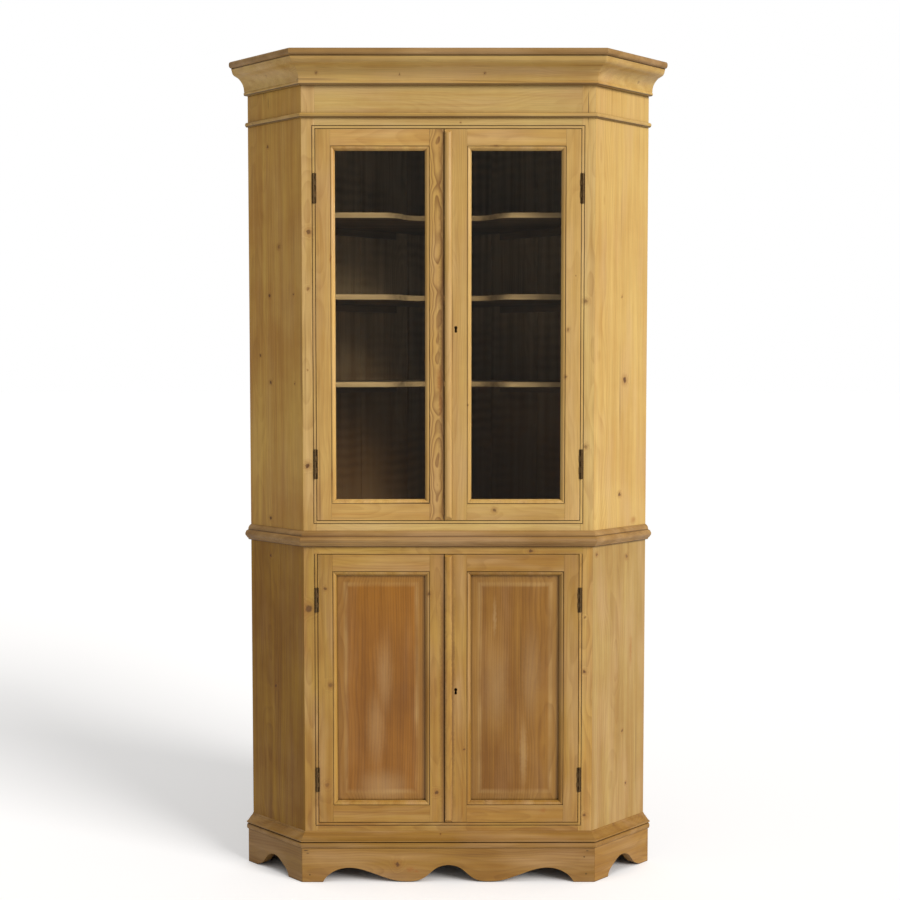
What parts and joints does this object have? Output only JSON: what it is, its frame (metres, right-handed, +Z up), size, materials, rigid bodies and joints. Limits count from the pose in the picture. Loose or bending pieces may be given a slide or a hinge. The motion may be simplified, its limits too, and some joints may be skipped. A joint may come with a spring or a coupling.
{
  "type": "glazed corner cupboard",
  "caption": "Free-standing corner cupboard with canted sides: glazed double doors over shaped shelves, panelled double doors below, moulded cornice and shaped plinth.",
  "frame": {"origin": "on the floor below the centre of the bounding box", "axes": "+Z up; the doors face -Y, the room corner is at +Y; X runs along the front"},
  "size_m": [1.1428, 0.745, 2.13],
  "materials": {
    "waxed_pine": "waxed old pine, satin",
    "panel_pine": "darker waxed pine, satin",
    "aged_pine": "dark unpolished pine",
    "glass": "clear window glass",
    "iron": "aged iron"
  },
  "bodies": {
    "case": {"astragal_moulding": "waxed_pine", "base_moulding": "waxed_pine", "cornice_moulding": "waxed_pine", "door_stops": "aged_pine", "frame_hinges": "iron", "frieze_rail": "waxed_pine", "lower_back_boards": "aged_pine", "lower_floor": "aged_pine", "lower_rails": "waxed_pine", "lower_shelf": "aged_pine", "lower_side_left": "waxed_pine", "lower_side_right": "waxed_pine", "lower_stiles": "waxed_pine", "lower_top": "aged_pine", "plinth_blocks": "aged_pine", "plinth_front": "waxed_pine", "plinth_left": "waxed_pine", "plinth_right": "waxed_pine", "shelf_bearers": "aged_pine", "shelf_high": "aged_pine", "shelf_low": "aged_pine", "shelf_middle": "aged_pine", "top_board": "waxed_pine", "upper_back_boards": "aged_pine", "upper_bottom_rail": "waxed_pine", "upper_floor": "aged_pine", "upper_side_left": "waxed_pine", "upper_side_right": "waxed_pine", "upper_stiles": "waxed_pine", "waist_moulding": "waxed_pine"},
    "upper_left_door": {"upper_left_door_stiles": "waxed_pine", "upper_left_door_rails": "waxed_pine", "upper_left_door_moulding": "waxed_pine", "upper_left_door_glass": "glass", "upper_left_door_hinge_leaves": "iron", "upper_slide_bolt_plate": "iron"},
    "upper_right_door": {"upper_right_door_stiles": "waxed_pine", "upper_right_door_rails": "waxed_pine", "upper_right_door_moulding": "waxed_pine", "upper_right_door_glass": "glass", "upper_right_door_hinge_leaves": "iron", "upper_meeting_bead": "waxed_pine", "upper_lock_case": "iron"},
    "upper_lock_bolt": {"upper_lock_bolt": "iron"},
    "upper_slide_bolt": {"upper_slide_bolt": "iron"},
    "lower_left_door": {"lower_left_door_stiles": "waxed_pine", "lower_left_door_rails": "waxed_pine", "lower_left_door_moulding": "waxed_pine", "lower_left_door_panel": "panel_pine", "lower_left_door_hinge_leaves": "iron", "lower_slide_bolt_plate": "iron"},
    "lower_right_door": {"lower_right_door_stiles": "waxed_pine", "lower_right_door_rails": "waxed_pine", "lower_right_door_moulding": "waxed_pine", "lower_right_door_panel": "panel_pine", "lower_right_door_hinge_leaves": "iron", "lower_meeting_bead": "waxed_pine", "lower_lock_case": "iron"},
    "lower_lock_bolt": {"lower_lock_bolt": "iron"},
    "lower_slide_bolt": {"lower_slide_bolt": "iron"}
  },
  "joints": [
    {"name": "upper_left_door_hinge", "type": "hinge", "parent": "case", "child": "upper_left_door", "pos_m": [-0.342, -0.3135, 1.439], "axis": [0, 0, -1], "range_deg": [0, 170]},
    {"name": "upper_right_door_hinge", "type": "hinge", "parent": "case", "child": "upper_right_door", "pos_m": [0.342, -0.3135, 1.439], "axis": [0, 0, 1], "range_deg": [0, 170]},
    {"name": "upper_lock_bolt_slide", "type": "slide", "parent": "upper_right_door", "child": "upper_lock_bolt", "axis": [-1, 0, 0], "range_m": [0, 0.008]},
    {"name": "upper_slide_bolt_slide", "type": "slide", "parent": "upper_left_door", "child": "upper_slide_bolt", "axis": [0, 0, 1], "range_m": [0, 0.012]},
    {"name": "lower_left_door_hinge", "type": "hinge", "parent": "case", "child": "lower_left_door", "pos_m": [-0.341, -0.3135, 0.5], "axis": [0, 0, -1], "range_deg": [0, 170]},
    {"name": "lower_right_door_hinge", "type": "hinge", "parent": "case", "child": "lower_right_door", "pos_m": [0.341, -0.3135, 0.5], "axis": [0, 0, 1], "range_deg": [0, 170]},
    {"name": "lower_lock_bolt_slide", "type": "slide", "parent": "lower_right_door", "child": "lower_lock_bolt", "axis": [-1, 0, 0], "range_m": [0, 0.008]},
    {"name": "lower_slide_bolt_slide", "type": "slide", "parent": "lower_left_door", "child": "lower_slide_bolt", "axis": [0, 0, 1], "range_m": [0, 0.012]}
  ]
}
